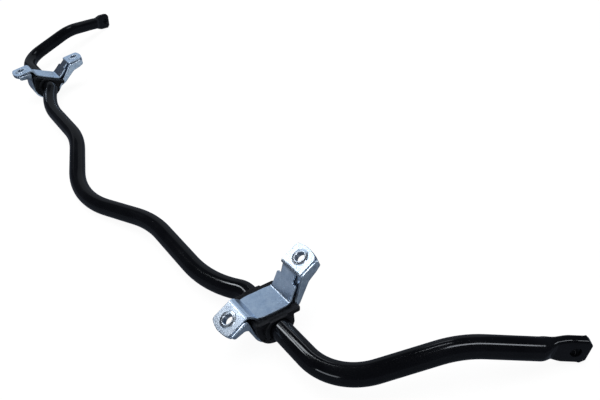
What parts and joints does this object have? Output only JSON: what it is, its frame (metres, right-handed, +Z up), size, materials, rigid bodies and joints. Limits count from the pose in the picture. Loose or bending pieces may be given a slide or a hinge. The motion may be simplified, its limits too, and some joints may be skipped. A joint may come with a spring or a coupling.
{
  "type": "sway bar",
  "caption": "Tubular front sway bar with flattened drilled ends, held in split rubber bushes by riveted sheet steel clamps.",
  "frame": {"origin": "on the flat surface the bar rests on, under the middle of its outline seen from above", "axes": "+X along the bush axis towards the right eye, +Y towards the eyes (rear of the car), +Z up from the surface; the bar itself is mirror-symmetric about X = 0"},
  "size_m": [1.1756, 0.2818, 0.0778],
  "materials": {
    "bar_paint": "gloss",
    "bush_rubber": "matte",
    "zinc_plate": "satin zinc",
    "zinc_rivet": "satin zinc"
  },
  "bodies": {
    "bar": {"bar": "bar_paint"},
    "right_clamp": {"right_bush": "bush_rubber", "right_upper_plate": "zinc_plate", "right_lower_strap": "zinc_plate", "right_front_rivet": "zinc_rivet", "right_rear_rivet": "zinc_rivet"},
    "left_clamp": {"left_bush": "bush_rubber", "left_upper_plate": "zinc_plate", "left_lower_strap": "zinc_plate", "left_front_rivet": "zinc_rivet", "left_rear_rivet": "zinc_rivet"}
  },
  "joints": [
    {"name": "right_bush_turn", "type": "hinge", "parent": "bar", "child": "right_clamp", "pos_m": [0.362, -0.0675, 0.0276], "axis": [1, 0, 0], "range_deg": [-40, 20]},
    {"name": "left_bush_turn", "type": "hinge", "parent": "bar", "child": "left_clamp", "pos_m": [-0.357, -0.0675, 0.0276], "axis": [1, 0, 0], "range_deg": [-20, 40]}
  ]
}
